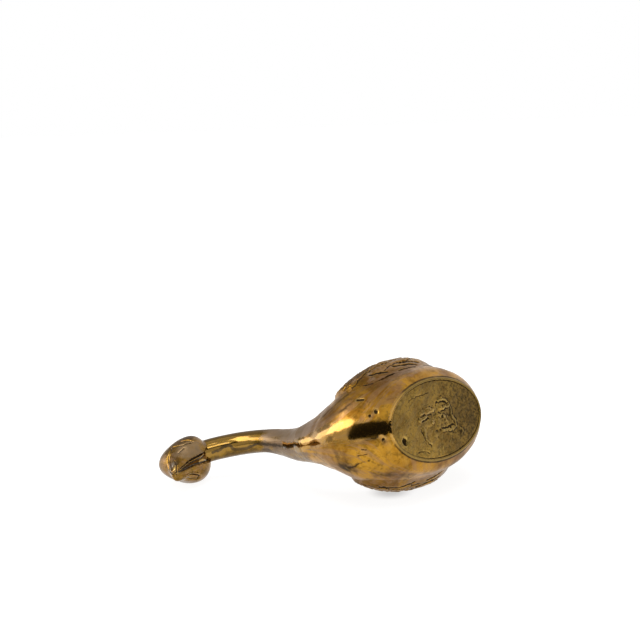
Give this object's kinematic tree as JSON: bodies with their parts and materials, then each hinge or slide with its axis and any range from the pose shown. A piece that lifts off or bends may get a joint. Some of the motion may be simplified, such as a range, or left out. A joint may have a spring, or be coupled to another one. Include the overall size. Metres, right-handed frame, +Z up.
{
  "type": "swan planter",
  "caption": "Cast brass swan planter: open bowl body on a flat oval base, carved wings on its flanks, curved neck and bowed head.",
  "frame": {"origin": "centre of the flat oval underside that the swan stands on", "axes": "+Z up, -Y towards the breast and bill, +X towards the swan's left side"},
  "size_m": [0.0744, 0.1575, 0.1517],
  "materials": {
    "cast_brass": "smooth cast brass with an uneven brown patina",
    "filed_brass": "filed flat, dull olive brown",
    "carved_brass": "carved brass with dark patina in the grooves",
    "polished_brass": "rubbed bright, with patina at the root"
  },
  "bodies": {
    "root": {"bowl_body": "cast_brass", "base_plate": "filed_brass", "left_wing": "carved_brass", "right_wing": "carved_brass", "neck": "polished_brass", "head": "carved_brass"}
  },
  "joints": []
}
